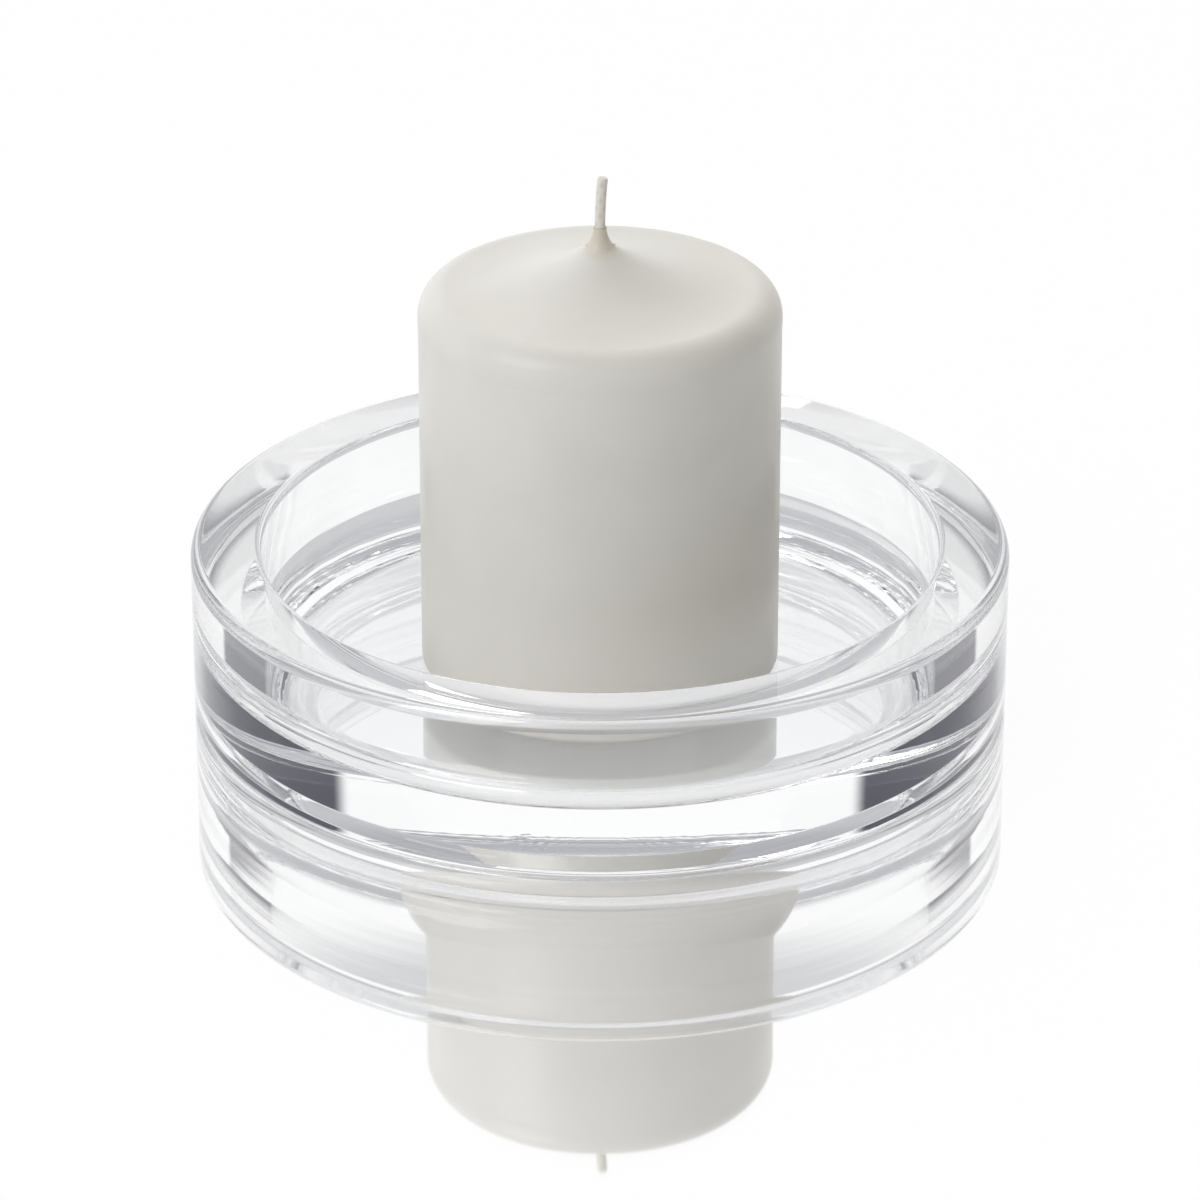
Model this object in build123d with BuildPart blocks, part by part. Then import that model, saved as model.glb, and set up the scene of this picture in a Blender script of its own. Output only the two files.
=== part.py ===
"""Candle plate: a thick pressed glass dish with a pillar candle standing loose in it.

Millimetres, +Z up. The origin is the middle of the dish's foot, on the surface that it stands on.
Every piece is turned about Z, apart from the wick, whose stub leans a little towards +X.
"""

import os

from build123d import *

# Glass dish
dish_diameter = 150.0
dish_height = 32.0
wall_thickness = 13.0
base_thickness = 8.4
foot_edge_radius = 2.5
rim_outer_radius = 2.1
rim_inner_radius = 1.4
floor_corner_radius = 9.5
foot_ring_width = 9.0
recess_depth = 1.5
recess_slope = 4.5
recess_edge_radius = 1.0

# Candle, outside
candle_diameter = 66.0
shoulder_height = 73.5
shoulder_radius = 5.3
candle_foot_radius = 1.3
crown_rise = 7.7
skirt_width = 2.05
collar_rise = 4.0
collar_lip = 0.25

# Dipped coat over the pressed core
coat_thickness = 1.5
core_shoulder_radius = 3.8
core_foot_radius = 1.0

# Wick and the clip at its foot
wick_diameter = 1.9
wick_stub = 9.5
wick_lean = 0.5
wick_end_radius = 0.25
wick_clearance = 0.05
sustainer_diameter = 18.0
sustainer_thickness = 0.4
sustainer_clearance = 0.1
neck_wall = 0.5
neck_height = 6.0

# Places that follow from the sizes
dish_radius = dish_diameter / 2
inner_radius = dish_radius - wall_thickness
foot_ring_radius = dish_radius - foot_ring_width
recess_radius = foot_ring_radius - recess_slope
candle_radius = candle_diameter / 2
wick_radius = wick_diameter / 2
wick_hole_radius = wick_radius + wick_clearance
core_radius = candle_radius - coat_thickness
seat_radius = sustainer_diameter / 2 + sustainer_clearance
neck_radius = wick_hole_radius + neck_wall
neck_hole_radius = neck_radius + wick_clearance

candle_foot_z = base_thickness
core_foot_z = candle_foot_z + coat_thickness
shoulder_z = candle_foot_z + shoulder_height
core_shoulder_z = shoulder_z - coat_thickness
core_bend_z = core_shoulder_z - core_shoulder_radius
core_bend_radius = core_radius - core_shoulder_radius
skirt_z = shoulder_z + crown_rise
collar_z = skirt_z + collar_rise
core_top_z = skirt_z - coat_thickness
neck_top_z = core_foot_z + neck_height
wick_foot_z = core_foot_z - sustainer_thickness
wick_tip_z = collar_z + wick_stub

skirt_radius = wick_hole_radius + skirt_width
collar_radius = wick_hole_radius + collar_lip

os.makedirs("parts", exist_ok=True)

# Glass dish: one turned section, floor and upright wall, with a rounded rim and a recess within the foot ring
with BuildPart() as glass_dish:
    with BuildSketch(Plane.XZ):
        with BuildLine():
            section = FilletPolyline(
                (0, recess_depth),
                (recess_radius, recess_depth),
                (foot_ring_radius, 0),
                (dish_radius, 0),
                (dish_radius, dish_height),
                (inner_radius, dish_height),
                (inner_radius, base_thickness),
                (0, base_thickness),
                radius=[
                    recess_edge_radius,
                    recess_edge_radius,
                    foot_edge_radius,
                    rim_outer_radius,
                    rim_inner_radius,
                    floor_corner_radius,
                ],
            )
            Line(section @ 1, section @ 0)
        make_face()
    revolve(axis=Axis.Z)
glass_dish.part.label = "glass_dish"
export_step(glass_dish.part, "parts/glass_dish.step")

# Wax coat: a dipped skin, open at the wick above and at the sustainer below
with BuildPart() as wax_coat:
    with BuildSketch(Plane.XZ):
        with BuildLine():
            skin = FilletPolyline(
                (seat_radius, candle_foot_z),
                (candle_radius, candle_foot_z),
                (candle_radius, shoulder_z - shoulder_radius),
                radius=candle_foot_radius,
            )
            shoulder = TangentArc(skin @ 1, (candle_radius - shoulder_radius, shoulder_z), tangent=(0, 1))
            crown = TangentArc(shoulder @ 1, (skirt_radius, skirt_z), tangent=(-1, 0))
            collar = TangentArc((collar_radius, collar_z), crown @ 1, tangent=(0, -1))
            lip = Polyline(collar @ 0, (wick_hole_radius, collar_z), (wick_hole_radius, core_top_z))
            lining = FilletPolyline(
                (seat_radius, core_foot_z),
                (core_radius, core_foot_z),
                (core_radius, core_bend_z),
                radius=core_foot_radius,
            )
            bend = TangentArc(lining @ 1, (core_bend_radius, core_shoulder_z), tangent=(0, 1))
            TangentArc(bend @ 1, lip @ 1, tangent=(-1, 0))
            Line(lining @ 0, skin @ 0)
        make_face()
    revolve(axis=Axis.Z)
wax_coat.part.label = "wax_coat"
export_step(wax_coat.part, "parts/wax_coat.step")

# Wax core: fills the coat, with the wick's hole and the sustainer neck's pocket
with BuildPart() as wax_core:
    with BuildSketch(Plane.XZ):
        with BuildLine():
            body = FilletPolyline(
                (neck_hole_radius, core_foot_z),
                (core_radius, core_foot_z),
                (core_radius, core_bend_z),
                radius=core_foot_radius,
            )
            bend = TangentArc(body @ 1, (core_bend_radius, core_shoulder_z), tangent=(0, 1))
            peak = TangentArc(bend @ 1, (wick_hole_radius, core_top_z), tangent=(-1, 0))
            Polyline(
                peak @ 1,
                (wick_hole_radius, neck_top_z),
                (neck_hole_radius, neck_top_z),
                body @ 0,
            )
        make_face()
    revolve(axis=Axis.Z)
wax_core.part.label = "wax_core"
export_step(wax_core.part, "parts/wax_core.step")

# Wick sustainer: a thin disc under the core with a neck that grips the wick
with BuildPart() as wick_sustainer:
    with BuildSketch(Plane.XZ):
        with BuildLine():
            Polyline(
                (wick_hole_radius, wick_foot_z),
                (sustainer_diameter / 2, wick_foot_z),
                (sustainer_diameter / 2, core_foot_z),
                (neck_radius, core_foot_z),
                (neck_radius, neck_top_z),
                (wick_hole_radius, neck_top_z),
                close=True,
            )
        make_face()
    revolve(axis=Axis.Z)
wick_sustainer.part.label = "wick_sustainer"
export_step(wick_sustainer.part, "parts/wick_sustainer.step")

# Wick: upright through the candle, then a stub that leans over a long arc
with BuildPart() as wick:
    with BuildLine() as wick_line:
        upright = Line((0, 0, wick_foot_z), (0, 0, collar_z))
        TangentArc(upright @ 1, (wick_lean, 0, wick_tip_z), tangent=(0, 0, 1))
    with BuildSketch(Plane.XY.offset(wick_foot_z)):
        Circle(wick_radius)
    sweep(path=wick_line.line)
    fillet(wick.edges().sort_by(Axis.Z)[-1], radius=wick_end_radius)
wick.part.label = "wick"
export_step(wick.part, "parts/wick.step")
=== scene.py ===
# %% [markdown]
# # A glass candle plate with its pillar candle
#
# The object is a thick round dish of clear pressed glass with an ivory pillar candle standing loose in it.
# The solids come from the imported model, in metres, with the middle of the dish's foot at the origin.
# This lesson dresses them: each step says what a piece is on the real object, how it could be made in
# Blender and why one way was chosen.

# %% The fixed frame
import math

import bmesh
import bpy
from mathutils import Matrix, Vector


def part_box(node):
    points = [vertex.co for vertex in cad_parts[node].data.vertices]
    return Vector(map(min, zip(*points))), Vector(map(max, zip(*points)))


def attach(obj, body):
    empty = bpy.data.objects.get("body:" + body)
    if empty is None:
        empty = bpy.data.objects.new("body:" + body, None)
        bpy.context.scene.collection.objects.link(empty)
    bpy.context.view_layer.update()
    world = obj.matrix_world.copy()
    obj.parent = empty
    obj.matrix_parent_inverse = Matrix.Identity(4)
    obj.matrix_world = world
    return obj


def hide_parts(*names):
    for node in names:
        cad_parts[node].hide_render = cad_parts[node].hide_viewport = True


MM = 0.001

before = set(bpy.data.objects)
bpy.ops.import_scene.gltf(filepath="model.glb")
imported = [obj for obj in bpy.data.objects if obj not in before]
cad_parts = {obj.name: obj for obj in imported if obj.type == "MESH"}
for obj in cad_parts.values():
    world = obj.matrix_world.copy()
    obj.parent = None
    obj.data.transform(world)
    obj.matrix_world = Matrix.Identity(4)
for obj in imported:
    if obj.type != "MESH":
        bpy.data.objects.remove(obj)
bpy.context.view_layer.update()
_, dish_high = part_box("glass_dish")
coat_low, coat_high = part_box("wax_coat")
core_low, core_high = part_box("wax_core")
wick_low, wick_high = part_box("wick")

# %% [markdown]
# ## One way to write every node tree
#
# Shaders, the world and Geometry Nodes are all trees of nodes. Adding each node and link by hand takes many
# lines, so one class wraps a node's output: arithmetic on it adds the Math node that works the value out.
# Every other node comes from one method that takes its type, its settings and the values of its sockets.

# %% Node helper
class Wire:
    """An output socket in a node tree, which can be used in Python arithmetic."""

    def __init__(self, graph, socket):
        self.graph = graph
        self.socket = socket

    def math(self, operation, *values):
        return self.graph.node("ShaderNodeMath", {"operation": operation}, dict(enumerate(values)))

    def __add__(self, other):
        return self.math("ADD", self, other)

    def __sub__(self, other):
        return self.math("SUBTRACT", self, other)

    def __mul__(self, other):
        return self.math("MULTIPLY", self, other)

    def __radd__(self, other):
        return self.math("ADD", other, self)

    def __rsub__(self, other):
        return self.math("SUBTRACT", other, self)

    def __rmul__(self, other):
        return self.math("MULTIPLY", other, self)

    def __abs__(self):
        return self.math("ABSOLUTE", self)

    def out(self, name):
        """Another output of the same node."""
        return Wire(self.graph, self.socket.node.outputs[name])


class Graph:
    """A node tree that nodes are added to."""

    def __init__(self, tree):
        self.tree = tree
        tree.nodes.clear()

    def node(self, kind, settings=None, values=None):
        made = self.tree.nodes.new(kind)
        for name, value in (settings or {}).items():
            setattr(made, name, value)
        for key, value in (values or {}).items():
            if isinstance(value, Wire):
                self.tree.links.new(value.socket, made.inputs[key])
            else:
                made.inputs[key].default_value = value
        return Wire(self, made.outputs[0]) if made.outputs else made

    def ramp(self, value, start, end, low=0.0, high=1.0):
        """A smooth step from low to high as value goes from start to end."""
        return self.node("ShaderNodeMapRange", {"interpolation_type": "SMOOTHSTEP"},
                         {"Value": value, "From Min": start, "From Max": end, "To Min": low, "To Max": high})

    def mix(self, share, first, second):
        """A colour between two colours."""
        made = self.node("ShaderNodeMix", {"data_type": "RGBA"}, {0: share, 6: first, 7: second})
        return Wire(self, made.socket.node.outputs[2])

    def noise(self, place, scale, detail=2.0, stretch=None):
        """Soft noise from 0 to 1, at so many lumps to the metre."""
        if stretch:
            place = self.node("ShaderNodeMapping", None, {"Vector": place, "Scale": stretch})
        return self.node("ShaderNodeTexNoise", None, {"Vector": place, "Scale": scale, "Detail": detail})


def grey(value):
    return (value, value, value, 1.0)


print("node helper ready")

# %% [markdown]
# ## The camera
#
# The photograph looks down on the plate at about 26 degrees through a long lens, so the rim's ellipse is
# half as deep as it is wide and the sides hardly converge. The camera could be placed by eye, but its
# distance and lens were worked out from the outlines of the dish and the candle, so that the render's
# outlines fall about where the photograph has them.

# %% Camera
LOOK_DOWN = math.radians(26.07)
CAMERA_DISTANCE = 1.1783
AIM_HEIGHT = 0.0192
LENS = 191.9


def add_camera():
    data = bpy.data.cameras.new("camera")
    data.sensor_width = 36
    data.lens = LENS
    camera = bpy.data.objects.new("camera", data)
    bpy.context.collection.objects.link(camera)
    back = CAMERA_DISTANCE * math.cos(LOOK_DOWN)
    camera.location = (0, -back, AIM_HEIGHT + CAMERA_DISTANCE * math.sin(LOOK_DOWN))
    camera.rotation_euler = (math.radians(90) - LOOK_DOWN, 0, 0)
    bpy.context.scene.camera = camera
    return camera


print("camera at", [round(v, 3) for v in add_camera().location])

# %% [markdown]
# ## The studio
#
# Clear glass has no colour of its own: it shows its surroundings, bent. The real plate stands on a polished
# white sheet before a bright white sweep, and the darker parts of the studio are the slate bands in its
# walls. A white room alone would make the glass vanish. A modelled room could give the bands, but its walls
# would also shade the wax and the background. So the world is white to the camera and to plain reflections,
# and only what is seen through the glass finds a studio: a white sweep before and behind, dark corners
# beside it, and greys at the sides, high up and low down. Its edges were fitted to the bands in the glass.
# The wax is lit apart from that, softly, more from the left and from behind, and warmer at the right.

# %% World
CORNER_DARK = (0.06, 0.062, 0.085, 1.0)
SIDE_GREY = (0.4, 0.405, 0.43, 1.0)
LOW_GREY = (0.38, 0.385, 0.41, 1.0)
HIGH_GREY = (0.42, 0.425, 0.45, 1.0)
SKY_GREY = (0.53, 0.535, 0.55, 1.0)
SWEEP_EDGE = (math.radians(29), math.radians(32))
CORNER_EDGE = (math.radians(72), math.radians(84))
CORNER_TOP = (math.radians(28.3), math.radians(28.6))
SKY_EDGE = (math.radians(28.8), math.radians(29.5))
SWEEP_LOW = (math.radians(9), math.radians(17))
SWEEP_HIGH = (math.radians(36), math.radians(46))
FILL_LEFT = 0.7
FILL_RIGHT = 0.18
FILL_TURN = (-0.2, 0.9)
FILL_WARM = (1.0, 0.91, 0.74, 1.0)
BEHIND = 1.75
BEHIND_BACK = 0.85
BEHIND_UP = 0.53
BEHIND_EDGE = (0.7, 0.97)


def seen_through_glass(rays):
    """1 for what the camera sees through the glass, 0 otherwise and for light on wax or floor."""
    depth = rays.math("MINIMUM", rays.out("Transmission Depth"), 1.0)
    return depth * (1 - rays.math("MINIMUM", rays.out("Diffuse Depth"), 1.0))


def add_world():
    world = bpy.data.worlds.new("studio")
    bpy.context.scene.world = world
    world.use_nodes = True
    g = Graph(world.node_tree)
    way = g.node("ShaderNodeSeparateXYZ", None, {0: g.node("ShaderNodeTexCoord")})
    turn = way.math("ARCTAN2", abs(way), abs(way.out("Y")))
    height = way.math("ARCSINE", way.out("Z"))
    beside = g.ramp(turn, *SWEEP_EDGE) * g.ramp(height, *CORNER_TOP, 1.0, 0.0)
    rays = g.node("ShaderNodeLightPath")
    through_glass = seen_through_glass(rays)
    passed = rays.math("MAXIMUM", rays.out("Is Glossy Ray"), rays.out("Is Transmission Ray"))
    seen = rays.math("MAXIMUM", rays, passed)
    sides = g.mix(g.ramp(turn, *CORNER_EDGE), CORNER_DARK, SIDE_GREY)
    wall = g.mix(g.ramp(height, *SKY_EDGE), grey(1.0), SKY_GREY)
    sweep = g.mix(beside, wall, sides)
    upright = g.mix(g.ramp(height, *SWEEP_LOW), LOW_GREY, sweep)
    room = g.mix(g.ramp(height, *SWEEP_HIGH), upright, HIGH_GREY)
    shown = g.mix(through_glass, grey(1.0), room)
    behind = way.out("Y") * BEHIND_BACK + way.out("Z") * BEHIND_UP
    fill = g.ramp(way, *FILL_TURN, FILL_LEFT, FILL_RIGHT) + g.ramp(behind, *BEHIND_EDGE) * BEHIND
    warm = g.mix(g.ramp(way, *FILL_TURN), grey(1.0), FILL_WARM)
    background = g.node("ShaderNodeBackground", None, {"Color": g.mix(seen, warm, shown),
                                                      "Strength": seen + (1 - seen) * fill})
    g.node("ShaderNodeOutputWorld", None, {"Surface": background})
    return world


print("world:", add_world().name)

# %% [markdown]
# The sheet under the plate is glossy, so a pale upside-down copy of the plate hangs below it. A single
# glossy shader with a plain colour would do, but the sheet also has a white body, lit all over, that takes
# the soft shadow. So a mirror is mixed with a body that is part glow and part matte white. Where the sheet
# is seen through the dish's foot ring, less mirror comes closer to the photograph: there the glowing body
# shows more, a painted light on the sheet under the foot ring in place of light that the glass lets in.

# %% Floor and lamp
FLOOR_SIZE = 12
FLOOR_DROP = 0.05 * MM
MIRROR_SHARE = 0.8
MIRROR_BLUR = 0.03
GLOW_SHARE = 0.75
LESS_MIRROR = (0.1, 0.7)
LESS_START = (45 * MM, 60 * MM)
LESS_END = (70 * MM, 73 * MM)
SHEET_WHITE = 0.95
KEY_PLACE = Vector((-0.75, -0.55, 0.95))
KEY_SIZE = 0.7
KEY_POWER = 4.4


def add_floor():
    mesh = bpy.data.meshes.new("floor")
    half = FLOOR_SIZE / 2
    mesh.from_pydata([(-half, -half, -FLOOR_DROP), (half, -half, -FLOOR_DROP), (half, half, -FLOOR_DROP),
                      (-half, half, -FLOOR_DROP)], [], [(0, 1, 2, 3)])
    floor = bpy.data.objects.new("floor", mesh)
    bpy.context.collection.objects.link(floor)
    sheet = bpy.data.materials.new("polished_sheet")
    sheet.use_nodes = True
    g = Graph(sheet.node_tree)
    rays = g.node("ShaderNodeLightPath")
    through_glass = seen_through_glass(rays)
    matte = g.node("ShaderNodeBsdfDiffuse", None, {"Color": grey(SHEET_WHITE)})
    glow = g.node("ShaderNodeEmission", None, {"Color": grey(1.0)})
    body = g.node("ShaderNodeMixShader", None, {0: GLOW_SHARE, 1: matte, 2: glow})
    mirror = g.node("ShaderNodeBsdfGlossy", None, {"Color": grey(1.0), "Roughness": MIRROR_BLUR})
    place = g.node("ShaderNodeTexCoord").out("Object")
    from_axis = g.node("ShaderNodeVectorMath", {"operation": "LENGTH"}, {0: place}).out("Value")
    # Painted light: under the foot ring, seen through the glass, the mirror gives way to the glowing body, so
    # the sheet is brighter there.
    less = g.ramp(from_axis, *LESS_START, *LESS_MIRROR) * g.ramp(from_axis, *LESS_END, 1.0, 0.0)
    both = g.node("ShaderNodeMixShader", None, {0: MIRROR_SHARE - through_glass * less, 1: body, 2: mirror})
    g.node("ShaderNodeOutputMaterial", None, {"Surface": both})
    mesh.materials.append(sheet)
    return floor


def add_key():
    lamp = bpy.data.lights.new("key", "AREA")
    lamp.energy = KEY_POWER
    lamp.size = KEY_SIZE
    key = bpy.data.objects.new("key", lamp)
    bpy.context.collection.objects.link(key)
    key.location = KEY_PLACE
    aim = Vector((0, 0, coat_high.z / 2))
    key.rotation_euler = (aim - KEY_PLACE).to_track_quat("-Z", "Y").to_euler()
    return key


print("floor:", add_floor().name, "lamp:", add_key().name)

# %% [markdown]
# Light in the thick base runs round inside it by total reflection, as in a light guide. Each turn is a
# bounce, so the bounce limits are raised; at the usual ones the base would go black.

# %% Bounces and view
LIGHT_GUIDE_BOUNCES = 40

cycles = bpy.context.scene.cycles
cycles.max_bounces = LIGHT_GUIDE_BOUNCES
cycles.glossy_bounces = LIGHT_GUIDE_BOUNCES
cycles.transmission_bounces = LIGHT_GUIDE_BOUNCES
bpy.context.scene.view_settings.view_transform = "Standard"
print("bounces:", cycles.max_bounces)

# %% [markdown]
# ## Turned pieces
#
# The dish is pressed in a round mould and the candle is round too, so both are a section carried once round
# the axis. Spinning a mesh by hand works, but a small Geometry Nodes tree says the rule itself: a circle
# carries the section, the points that meet on the axis are merged, and the finish is set. The section comes
# from a few corners with their roundings; short holding steps beside each rounding keep the flat faces flat
# where smooth shading blends the normals, which glass would show at once.

# %% Sections
ROUNDING_STEPS = 28
HOLD = 0.12 * MM


def arc_about(centre, start, turn, steps=ROUNDING_STEPS):
    """Points from start, turned about centre."""
    spoke = start - centre
    return [centre + Matrix.Rotation(turn * i / steps, 2) @ spoke for i in range(steps + 1)]


def rounded(corners):
    """An outline through corners of (distance from the axis, height, rounding); its two ends stay sharp."""
    line = [Vector(corners[0][:2])]
    for before, (x, z, radius), after in zip(corners, corners[1:], corners[2:]):
        corner = Vector((x, z))
        back = (Vector(before[:2]) - corner).normalized()
        on = (Vector(after[:2]) - corner).normalized()
        half = back.angle(on) / 2
        centre = corner + (back + on).normalized() * radius / math.sin(half)
        start = corner + back * radius / math.tan(half)
        turn = math.pi - 2 * half
        side = (start - corner).cross(on)
        line += arc_about(centre, start, math.copysign(turn, -side))
    return line + [Vector(corners[-1][:2])]


def tangent_arc(start, direction, end):
    """The arc that leaves start along direction and reaches end."""
    across = Vector((-direction.y, direction.x))
    chord = end - start
    radius = chord.length_squared / (2 * chord.dot(across))
    centre = start + across * radius
    turn = 2 * math.atan2(chord.dot(across), chord.dot(direction))
    return arc_about(centre, start, turn)


def held(line):
    """The same outline with a holding point near both ends of each long straight run."""
    full = [line[0]]
    for a, b in zip(line, line[1:]):
        run = b - a
        if run.length > 4 * HOLD:
            step = run.normalized() * HOLD
            full += [a + step, b - step]
        full.append(b)
    return full


print("a quarter round takes", ROUNDING_STEPS, "steps")

# %% Turning tree
MERGE = 0.0005 * MM


def new_tree(name, inputs):
    """A Geometry Nodes tree with named inputs; returns its graph and the inputs' wires by name."""
    tree = bpy.data.node_groups.new(name, "GeometryNodeTree")
    tree.interface.new_socket("Geometry", in_out="OUTPUT", socket_type="NodeSocketGeometry")
    for label, kind in inputs:
        tree.interface.new_socket(label, in_out="INPUT", socket_type="NodeSocket" + kind)
    graph = Graph(tree)
    first = graph.node("NodeGroupInput")
    return graph, {label: first.out(label) for label, _ in inputs}


def end_tree(graph, shape, finish):
    """Ends a tree: everything is made real, shaded smooth and given its finish."""
    real = graph.node("GeometryNodeRealizeInstances", None, {"Geometry": shape})
    smooth = graph.node("GeometryNodeSetShadeSmooth", None, {0: real})
    done = graph.node("GeometryNodeSetMaterial", None, {"Geometry": smooth, "Material": finish})
    graph.node("NodeGroupOutput", None, {0: done})
    return graph.tree


def turning_tree():
    g, sizes = new_tree("turned_piece", [
        ("Section", "Object"), ("Steps round", "Int"), ("Unevenness", "Float"),
        ("Lumps per metre", "Float"), ("Middle", "Vector"), ("Finish", "Material")])
    section = g.node("GeometryNodeObjectInfo", None, {"Object": sizes["Section"]}).out("Geometry")
    circle = g.node("GeometryNodeCurvePrimitiveCircle", {"mode": "RADIUS"},
                    {"Resolution": sizes["Steps round"], "Radius": 1.0})
    upright = g.node("GeometryNodeSetCurveNormal", {"mode": "Z_UP"}, {"Curve": circle})
    skin = g.node("GeometryNodeCurveToMesh", None, {"Curve": upright, "Profile Curve": section})
    closed = g.node("GeometryNodeMergeByDistance", None, {"Geometry": skin, "Distance": MERGE})
    outward = g.node("GeometryNodeFlipFaces", None, {"Mesh": closed})
    facing = g.node("GeometryNodeInputNormal")
    place = g.node("GeometryNodeInputPosition")
    from_middle = g.node("ShaderNodeVectorMath", {"operation": "SUBTRACT"}, {0: place, 1: sizes["Middle"]})
    dot = g.node("ShaderNodeVectorMath", {"operation": "DOT_PRODUCT"}, {0: facing, 1: from_middle})
    outside = g.ramp(dot.out("Value"), 0.0, 2 * MM)
    lumps = g.noise(place, sizes["Lumps per metre"], 1.0)
    inward = (lumps * outside * sizes["Unevenness"]) * -1.0
    moved = g.node("ShaderNodeVectorMath", {"operation": "SCALE"}, {0: facing, "Scale": inward})
    uneven = g.node("GeometryNodeSetPosition", None, {"Geometry": outward, "Offset": moved})
    return end_tree(g, uneven, sizes["Finish"])


def evaluated(name, tree, values):
    """Runs a tree on an empty mesh and returns the result as a plain mesh object."""
    piece = bpy.data.objects.new(name, bpy.data.meshes.new(name))
    bpy.context.collection.objects.link(piece)
    modifier = piece.modifiers.new("shape", "NODES")
    modifier.node_group = tree
    sockets = {item.name: item.identifier for item in tree.interface.items_tree if item.in_out == "INPUT"}
    for label, value in values.items():
        modifier[sockets[label]] = value
    graph = bpy.context.evaluated_depsgraph_get()
    mesh = bpy.data.meshes.new_from_object(piece.evaluated_get(graph))
    piece.modifiers.remove(modifier)
    piece.data = mesh
    mesh.name = name
    return piece


TURNING = turning_tree()


def section_curve(name, line, loop):
    """A flat curve for the turning tree; its circle of 1 m carries it, so x is the distance beyond that."""
    data = bpy.data.curves.new(name, "CURVE")
    data.dimensions = "3D"
    spline = data.splines.new("POLY")
    spline.points.add(len(line) - 1)
    for point, (x, z) in zip(spline.points, line):
        point.co = (x - 1.0, -z, 0.0, 1.0)
    spline.use_cyclic_u = loop
    curve = bpy.data.objects.new(name, data)
    bpy.context.collection.objects.link(curve)
    return curve


def turned(name, line, finish, loop=False, steps=256, unevenness=0.0, lumps=60.0, middle=(0, 0, 0)):
    """A piece turned about the axis from its section."""
    curve = section_curve(name + "_section", line, loop)
    piece = evaluated(name, TURNING, {"Section": curve, "Steps round": steps, "Unevenness": unevenness,
                                      "Lumps per metre": lumps, "Middle": middle, "Finish": finish})
    bpy.data.objects.remove(curve)
    return piece


def volume(piece):
    """The enclosed volume in cubic centimetres; it is negative for a shape that is inside out."""
    shape = bmesh.new()
    shape.from_mesh(piece.data)
    found = shape.calc_volume(signed=True) * 1e6
    shape.free()
    return round(found, 2)


print("tree:", TURNING.name)

# %% [markdown]
# ## The glass
#
# Pressed glass is clear and almost without colour. Its surface isn't optically perfect: the mould and the
# fire polish leave long shallow rings that break the dark bands into fine steps. The rings are far too
# shallow to model, so a bump of stretched noise bends the light instead.

# %% Clear glass
GLASS_IOR = 1.5
GLASS_TINT = (0.99, 0.995, 1.0, 1.0)
RING_STRETCH = (14, 14, 420)
RING_FADE = (70 * MM, 74 * MM)
RING_STRENGTH = 0.004


def principled(name, fixed):
    """A material with one Principled shader; returns the material, its graph and the shader's node."""
    material = bpy.data.materials.new(name)
    material.use_nodes = True
    g = Graph(material.node_tree)
    shader = g.node("ShaderNodeBsdfPrincipled", None, fixed)
    g.node("ShaderNodeOutputMaterial", None, {"Surface": shader})
    return material, g, shader.socket.node


def feed(g, shader, sockets):
    """Links or sets sockets of a shader that is already there."""
    for name, value in sockets.items():
        if isinstance(value, Wire):
            g.tree.links.new(value.socket, shader.inputs[name])
        else:
            shader.inputs[name].default_value = value


def place_on(g):
    """The point on the piece, in metres."""
    return g.node("ShaderNodeTexCoord").out("Object")


def clear_glass():
    material, g, shader = principled("clear_glass", {"Base Color": GLASS_TINT, "Roughness": 0.0,
                                                     "IOR": GLASS_IOR, "Transmission Weight": 1.0})
    place = place_on(g)
    flat = g.node("ShaderNodeVectorMath", {"operation": "MULTIPLY"}, {0: place, 1: (1, 1, 0)})
    from_axis = g.node("ShaderNodeVectorMath", {"operation": "LENGTH"}, {0: flat}).out("Value")
    rings = g.noise(place, 1.0, 2.0, stretch=RING_STRETCH) * g.ramp(from_axis, *RING_FADE)
    bump = g.node("ShaderNodeBump", None, {"Strength": RING_STRENGTH, "Distance": 1 * MM, "Height": rings})
    feed(g, shader, {"Normal": bump})
    return material


GLASS = clear_glass()
print("finish:", GLASS.name)

# %% [markdown]
# ## The dish
#
# The dish is one piece: a thick floor, an upright wall, a flat rim with rounded edges and, underneath, a flat
# foot ring around a shallow recess. The solid already has that shape, but its facets are too coarse for
# glass, so the same section is turned again, finer.

# %% Glass dish
DISH_RADIUS = dish_high.x
DISH_HEIGHT = dish_high.z
DISH_FLOOR = coat_low.z
WALL = 13.0 * MM
FOOT_EDGE = 2.5 * MM
FOOT_RING = 9.0 * MM
RECESS = 1.5 * MM
RECESS_SLOPE = 4.5 * MM
RECESS_EDGE = 1.0 * MM
RIM_OUTER = 2.1 * MM
RIM_INNER = 1.4 * MM
FLOOR_CORNER = 9.5 * MM


def glass_dish():
    inner = DISH_RADIUS - WALL
    ring = DISH_RADIUS - FOOT_RING
    line = rounded([(0, RECESS), (ring - RECESS_SLOPE, RECESS, RECESS_EDGE), (ring, 0, RECESS_EDGE),
                    (DISH_RADIUS, 0, FOOT_EDGE), (DISH_RADIUS, DISH_HEIGHT, RIM_OUTER),
                    (inner, DISH_HEIGHT, RIM_INNER), (inner, DISH_FLOOR, FLOOR_CORNER),
                    (0, DISH_FLOOR)])
    dish = turned("pressed_dish", held(line), GLASS, steps=288)
    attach(dish, "dish")
    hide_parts("glass_dish")
    return dish


dish = glass_dish()
print("dish:", len(dish.data.polygons), "faces,", volume(dish), "cm3")
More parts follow.
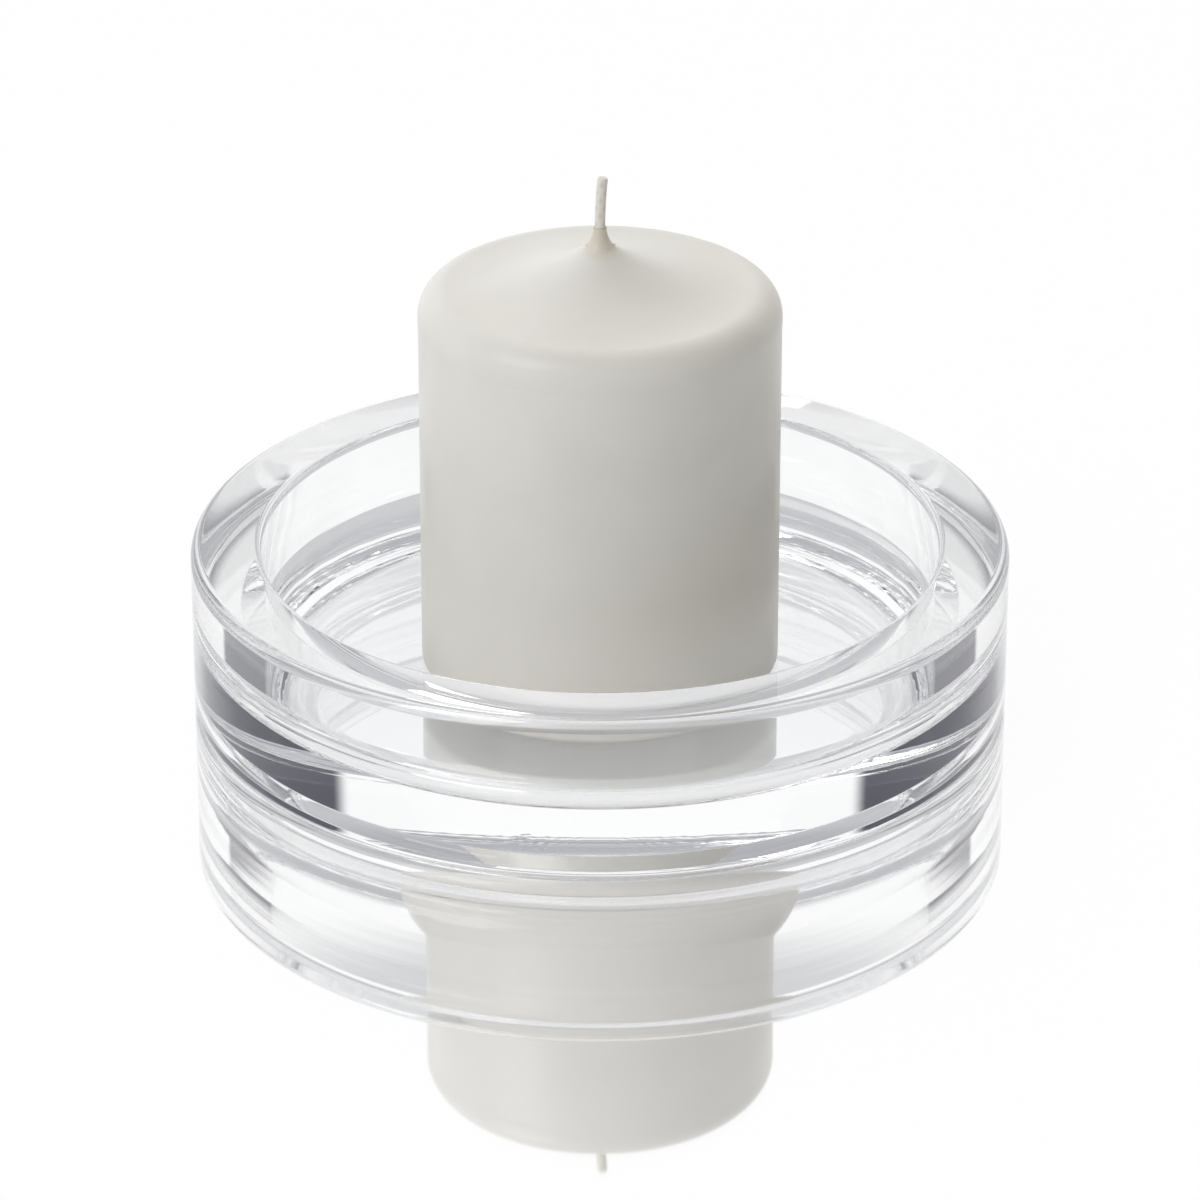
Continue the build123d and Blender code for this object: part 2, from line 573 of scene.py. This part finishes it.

# %% [markdown]
# ## The wax
#
# A pillar candle of this kind is a pressed core dipped in finer wax. The coat is ivory, smooth and a little
# glossy, with faint clouds in it; where the wax climbs the wick it is thin and looks yellower. In the
# photograph the candle also stays bright down to its foot, more than the render's light alone makes it, so
# painted light makes the colour a little lighter and warmer towards the foot.

# %% Ivory wax
WAX = (0.7, 0.687, 0.65, 1.0)
WAX_CLOUD = (0.68, 0.667, 0.63, 1.0)
# Painted light: the wax's colour near the foot, lighter and warmer in place of light the render doesn't bring
# there.
WAX_FOOT_PAINTED_LIGHT = (0.81, 0.785, 0.73, 1.0)
WAX_THIN = (0.62, 0.585, 0.49, 1.0)
FOOT_PAINTED_LIGHT_FADE = (8 * MM, 66 * MM)
THIN_FADE = (1.2 * MM, 5.0 * MM)
CLOUDS_PER_METRE = 70.0
GRAINS_PER_METRE = 1400.0


def ivory_wax():
    material, g, shader = principled("ivory_wax", {"IOR": 1.44, "Coat IOR": 1.45, "Coat Roughness": 0.22,
                                                   "Coat Weight": 0.35})
    place = place_on(g)
    across = g.node("ShaderNodeSeparateXYZ", None, {0: place})
    clouds = g.noise(place, CLOUDS_PER_METRE, 3.0)
    upper = g.mix(g.ramp(clouds, 0.4, 0.7), WAX, WAX_CLOUD)
    # Painted light: the colour fades to the lighter, warmer foot colour towards the candle's foot.
    colour = g.mix(g.ramp(across.out("Z"), *FOOT_PAINTED_LIGHT_FADE, 1.0, 0.0), upper, WAX_FOOT_PAINTED_LIGHT)
    square = across * across + across.out("Y") * across.out("Y")
    from_axis = square.math("SQRT", square)
    thin = g.ramp(from_axis, *THIN_FADE, 1.0, 0.0)
    grain = g.noise(place, GRAINS_PER_METRE, 2.0)
    skin = g.node("ShaderNodeBump", None, {"Strength": 0.06, "Distance": 0.2 * MM, "Height": grain})
    feed(g, shader, {"Base Color": g.mix(thin, colour, WAX_THIN),
                     "Roughness": g.ramp(clouds, 0.3, 0.7, 0.42, 0.5), "Normal": skin})
    return material


IVORY_WAX = ivory_wax()
print("finish:", IVORY_WAX.name)

# %% [markdown]
# The coat is a thin shell round the core: upright sides with a small rolled foot, a dip line just under the
# shoulder, a crown that is drawn up to the wick and a little collar of wax on the wick itself. It is turned
# like the dish, and the tree's noise then takes a tenth of a millimetre off here and there, because a dipped
# surface is never quite even. It stands a hair above the glass, so that the two surfaces don't coincide.

# %% Wax coat
CANDLE_RADIUS = coat_high.x
COLLAR_TOP = coat_high.z
CORE_RADIUS = core_high.x
CORE_FOOT = core_low.z
CORE_TOP = core_high.z
COAT = CANDLE_RADIUS - CORE_RADIUS
COLLAR_RISE = 4.0 * MM
CROWN_RISE = 7.7 * MM
SKIRT_TOP = COLLAR_TOP - COLLAR_RISE
SHOULDER_TOP = SKIRT_TOP - CROWN_RISE
SHOULDER = 5.3 * MM
CANDLE_FOOT = 1.3 * MM
SKIRT_RADIUS = 3.05 * MM
COLLAR_RADIUS = 1.25 * MM
WICK_HOLE = 1.0 * MM
SEAT_RADIUS = 9.1 * MM
CORE_SHOULDER = 3.8 * MM
CORE_FOOT_EDGE = 1.0 * MM
STAND_OFF = 0.03 * MM
DIP_LINE = 0.06 * MM
DIP_HEIGHT = 0.9 * MM
DIP_STEPS = 8
WAX_UNEVENNESS = 0.12 * MM
WAX_LUMPS = 55.0

UP = Vector((0, 1))
DOWN = Vector((0, -1))
TO_AXIS = Vector((-1, 0))


def coat_section():
    side = CANDLE_RADIUS - DIP_LINE
    bend = SHOULDER_TOP - SHOULDER
    outside = rounded([(SEAT_RADIUS, coat_low.z + STAND_OFF), (side, coat_low.z + STAND_OFF, CANDLE_FOOT),
                       (side, bend - 4 * DIP_HEIGHT)])
    lip = []
    for i in range(DIP_STEPS + 1):
        share = i / DIP_STEPS
        out = DIP_LINE * (0.5 - 0.5 * math.cos(math.pi * share))
        lip.append(Vector((side + out, bend - (2 - share) * DIP_HEIGHT)))
    shoulder_end = Vector((CANDLE_RADIUS - SHOULDER, SHOULDER_TOP))
    shoulder = tangent_arc(Vector((CANDLE_RADIUS, bend)), UP, shoulder_end)
    crown = tangent_arc(shoulder[-1], TO_AXIS, Vector((SKIRT_RADIUS, SKIRT_TOP)))
    collar = tangent_arc(Vector((COLLAR_RADIUS, COLLAR_TOP)), DOWN, crown[-1])
    hole = [Vector((WICK_HOLE, COLLAR_TOP)), Vector((WICK_HOLE, CORE_TOP))]
    core_bend = Vector((CORE_RADIUS - CORE_SHOULDER, SHOULDER_TOP - COAT))
    ceiling = tangent_arc(core_bend, TO_AXIS, hole[-1])
    inner_bend = tangent_arc(Vector((CORE_RADIUS, core_bend.y - CORE_SHOULDER)), UP, core_bend)
    lining = rounded([(SEAT_RADIUS, CORE_FOOT), (CORE_RADIUS, CORE_FOOT, CORE_FOOT_EDGE), inner_bend[0]])
    inside = lining[:-1] + inner_bend + ceiling[1:-1]
    return held(outside + lip + shoulder + crown[1:] + collar[::-1][1:] + hole) + held(inside[::-1])


def wax_coat():
    middle = (0, 0, (coat_low.z + SHOULDER_TOP) / 2)
    coat = turned("dipped_coat", coat_section(), IVORY_WAX, loop=True, steps=224, unevenness=WAX_UNEVENNESS,
                  lumps=WAX_LUMPS, middle=middle)
    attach(coat, "candle")
    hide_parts("wax_coat")
    return coat


coat = wax_coat()
print("coat:", len(coat.data.polygons), "faces,", volume(coat), "cm3")

# %% [markdown]
# Where the coat was pulled off the dipping bath, thin spurs of wax stay on the wick's foot. They are a frill
# with a ragged edge, so it is one ring of a thin wedge-shaped section whose reach changes round the wick.

# %% Wax frill
FRILL_STEPS = 120
FRILL_HEIGHT = SKIRT_TOP + 0.55 * MM
FRILL_ROOT = 1.5 * MM
FRILL_REACH = 2.15 * MM
FRILL_SPURS = ((-8, 0.85, 7), (186, 0.55, 10), (-52, 0.3, 9), (128, 0.35, 12), (60, 0.4, 8), (238, 0.25, 8))
FRILL_TILT = 0.35
FRILL_WAVE = 0.06 * MM
FRILL_RIPPLE = 0.05 * MM
FRILL_ROOT_HALF = 0.4 * MM
FRILL_EDGE = 0.25 * MM
FRILL_UNDER = 0.14 * MM
FRILL_OVER = 0.1 * MM


def frill_reach(angle):
    """How far the frill's edge is from the axis, with a spur at each listed angle."""
    reach = FRILL_REACH + FRILL_WAVE * math.sin(5 * angle) + FRILL_RIPPLE * math.sin(11 * angle + 1)
    for place, length, width in FRILL_SPURS:
        away = (math.degrees(angle) - place + 180) % 360 - 180
        reach += length * MM * math.exp(-(away / width) ** 2)
    return reach


def wax_frill():
    shape = bmesh.new()
    rings = []
    for i in range(FRILL_STEPS):
        angle = math.tau * i / FRILL_STEPS
        reach = frill_reach(angle)
        lift = FRILL_HEIGHT + FRILL_TILT * (reach - FRILL_REACH)
        section = ((FRILL_ROOT, FRILL_HEIGHT - FRILL_ROOT_HALF), (reach - FRILL_EDGE, lift - FRILL_UNDER),
                   (reach, lift), (reach - FRILL_EDGE, lift + FRILL_OVER),
                   (FRILL_ROOT, FRILL_HEIGHT + FRILL_ROOT_HALF))
        rings.append([shape.verts.new((r * math.cos(angle), r * math.sin(angle), z)) for r, z in section])
    for now, after in zip(rings, rings[1:] + rings[:1]):
        for k in range(len(now)):
            on = (k + 1) % len(now)
            shape.faces.new((now[k], after[k], after[on], now[on]))
    bmesh.ops.recalc_face_normals(shape, faces=shape.faces)
    mesh = bpy.data.meshes.new("wax_frill")
    shape.to_mesh(mesh)
    shape.free()
    mesh.shade_smooth()
    mesh.materials.append(IVORY_WAX)
    frill = bpy.data.objects.new("wax_frill", mesh)
    bpy.context.collection.objects.link(frill)
    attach(frill, "candle")
    return frill


frill = wax_frill()
print("frill:", len(frill.data.polygons), "faces,", volume(frill), "cm3")

# %% [markdown]
# ## The wick
#
# The wick is a tight plait of cotton threads, stiff with wax, and its stub leans a little to one side. A
# plain tube would look like plastic. Modelling every thread would be far too fine, so a Geometry Nodes tree
# carries a circle along the wick's line and presses the grooves between two crossing sets of threads into it.

# %% Cotton wick finish
COTTON = (0.72, 0.7, 0.65, 1.0)
# Painted shade: the darker colour given to the grooves between the threads.
COTTON_GROOVE_PAINTED_SHADE = (0.62, 0.6, 0.54, 1.0)


def cotton_wick():
    material, g, shader = principled("cotton_wick", {"IOR": 1.45, "Coat Weight": 0.2, "Coat Roughness": 0.35})
    thread = g.node("ShaderNodeAttribute", {"attribute_name": "thread"}).out("Fac")
    fibres = g.noise(place_on(g), 2500.0, 2.0, stretch=(1, 1, 0.3))
    fuzz = g.node("ShaderNodeBump", None, {"Strength": 0.15, "Distance": 0.1 * MM, "Height": fibres})
    # Painted shade: the grooves between the plaited threads are coloured darker, as shade falls in them.
    colour = g.mix(g.ramp(thread + fibres * 0.3, 0.1, 1.0), COTTON_GROOVE_PAINTED_SHADE, COTTON)
    feed(g, shader, {"Base Color": colour, "Roughness": g.ramp(thread, 0.0, 1.0, 0.75, 0.55), "Normal": fuzz})
    return material


COTTON_WICK = cotton_wick()
print("finish:", COTTON_WICK.name)

# %% Plaited wick
WICK_RADIUS = -wick_low.x
WICK_FOOT = wick_low.z
WICK_TIP = wick_high.z
WICK_LEAN = 0.5 * MM
WICK_GROOVE = 0.05 * MM
WICK_STRANDS = 3.0
WICK_PLAITS = 330.0
WICK_STEP = 0.16 * MM
WICK_END = 0.3 * MM
WICK_BLUNT = 0.8
WICK_SIDES = 36
WICK_TIP_GAP = 0.1 * MM


def plait_tree():
    g, sizes = new_tree("plaited_wick", [
        ("Line", "Object"), ("Radius", "Float"), ("Groove", "Float"), ("Strands", "Float"),
        ("Plaits per metre", "Float"), ("Step", "Float"), ("End rounding", "Float"), ("Finish", "Material")])
    line = g.node("GeometryNodeObjectInfo", None, {"Object": sizes["Line"]}).out("Geometry")
    even = g.node("GeometryNodeResampleCurve", {"mode": "LENGTH"}, {"Curve": line, "Length": sizes["Step"]})
    along = g.node("GeometryNodeSplineParameter").out("Length")
    to_end = g.node("GeometryNodeSplineLength") - along
    marked = g.node("GeometryNodeStoreNamedAttribute", {"data_type": "FLOAT", "domain": "POINT"},
                    {"Geometry": even, "Name": "along", "Value": along})
    circle = g.node("GeometryNodeCurvePrimitiveCircle", {"mode": "RADIUS"},
                    {"Resolution": WICK_SIDES, "Radius": sizes["Radius"]})
    around = g.node("GeometryNodeSplineParameter").out("Factor")
    profile = g.node("GeometryNodeStoreNamedAttribute", {"data_type": "FLOAT", "domain": "POINT"},
                     {"Geometry": circle, "Name": "around", "Value": around})
    blunt = g.node("ShaderNodeMapRange", {"interpolation_type": "SMOOTHSTEP"},
                   {"Value": to_end, "From Max": sizes["End rounding"], "To Min": WICK_BLUNT, "To Max": 1.0})
    tube = g.node("GeometryNodeCurveToMesh", None, {"Curve": marked, "Profile Curve": profile, "Scale": blunt,
                                                   "Fill Caps": True})
    turn = g.node("GeometryNodeInputNamedAttribute", {"data_type": "FLOAT"}, {"Name": "around"})
    turn = turn * sizes["Strands"]
    rise = g.node("GeometryNodeInputNamedAttribute", {"data_type": "FLOAT"}, {"Name": "along"})
    rise = rise * sizes["Plaits per metre"]
    right = turn.math("SINE", (turn + rise) * math.tau)
    left = turn.math("SINE", (turn - rise) * math.tau)
    crest = turn.math("MAXIMUM", right, left) * 0.5 + 0.5
    threaded = g.node("GeometryNodeStoreNamedAttribute", {"data_type": "FLOAT", "domain": "POINT"},
                      {"Geometry": tube, "Name": "thread", "Value": crest})
    groove = (crest - 1.0) * sizes["Groove"]
    pressed = g.node("ShaderNodeVectorMath", {"operation": "SCALE"},
                     {0: g.node("GeometryNodeInputNormal"), "Scale": groove})
    plaited = g.node("GeometryNodeSetPosition", None, {"Geometry": threaded, "Offset": pressed})
    return end_tree(g, plaited, sizes["Finish"])


def wick_line():
    """The wick's middle: upright in the candle, then a stub on a long arc that leans to one side."""
    stub = tangent_arc(Vector((0, COLLAR_TOP)), UP, Vector((WICK_LEAN, WICK_TIP - WICK_TIP_GAP)))
    data = bpy.data.curves.new("wick_line", "CURVE")
    data.dimensions = "3D"
    spline = data.splines.new("POLY")
    points = [Vector((0, WICK_FOOT))] + stub
    spline.points.add(len(points) - 1)
    for point, (x, z) in zip(spline.points, points):
        point.co = (x, 0, z, 1)
    curve = bpy.data.objects.new("wick_line", data)
    bpy.context.collection.objects.link(curve)
    return curve


def plaited_wick():
    line = wick_line()
    wick = evaluated("plaited_wick", plait_tree(), {
        "Line": line, "Radius": WICK_RADIUS, "Groove": WICK_GROOVE, "Strands": WICK_STRANDS,
        "Plaits per metre": WICK_PLAITS, "Step": WICK_STEP, "End rounding": WICK_END, "Finish": COTTON_WICK})
    bpy.data.objects.remove(line)
    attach(wick, "candle")
    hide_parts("wick")
    return wick


wick = plaited_wick()
print("wick:", len(wick.data.polygons), "faces,", volume(wick), "cm3")

# %% [markdown]
# ## Inside the candle
#
# Two pieces are hidden: the core, pressed from wax granules, and the tinned disc that grips the wick's foot.
# Their solids have the right shapes, so they stay and only get their finishes.

# %% Core and sustainer
GRANULE = (0.68, 0.66, 0.615, 1.0)
GRANULE_GAP = (0.56, 0.54, 0.49, 1.0)
TIN = (0.72, 0.72, 0.7, 1.0)
TIN_DULL = (0.6, 0.6, 0.59, 1.0)


def pressed_wax():
    material, g, shader = principled("pressed_wax", {"IOR": 1.44})
    grains = g.node("ShaderNodeTexVoronoi", None, {"Vector": place_on(g), "Scale": 900.0}).out("Distance")
    lumps = g.node("ShaderNodeBump", None, {"Strength": 0.5, "Distance": 0.3 * MM, "Height": 1 - grains})
    feed(g, shader, {"Base Color": g.mix(g.ramp(grains, 0.2, 0.8), GRANULE, GRANULE_GAP),
                     "Roughness": g.ramp(grains, 0.0, 0.8, 0.65, 0.85), "Normal": lumps})
    return material


def tinned_steel():
    material, g, shader = principled("tinned_steel", {"Metallic": 1.0})
    place = place_on(g)
    spangle = g.node("ShaderNodeTexVoronoi", None, {"Vector": place, "Scale": 500.0}).out("Color")
    share = g.node("ShaderNodeSeparateXYZ", None, {0: spangle})
    rolled = g.noise(place, 900.0, 2.0, stretch=(0.1, 1, 1))
    feed(g, shader, {"Base Color": g.mix(share, TIN, TIN_DULL), "Roughness": 0.28 + rolled * 0.2})
    return material


def dress(node, finish):
    """Gives a solid that stays its finish."""
    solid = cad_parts[node]
    solid.data.materials.clear()
    solid.data.materials.append(finish)
    return solid.name


print("dressed:", dress("wax_core", pressed_wax()), dress("wick_sustainer", tinned_steel()))
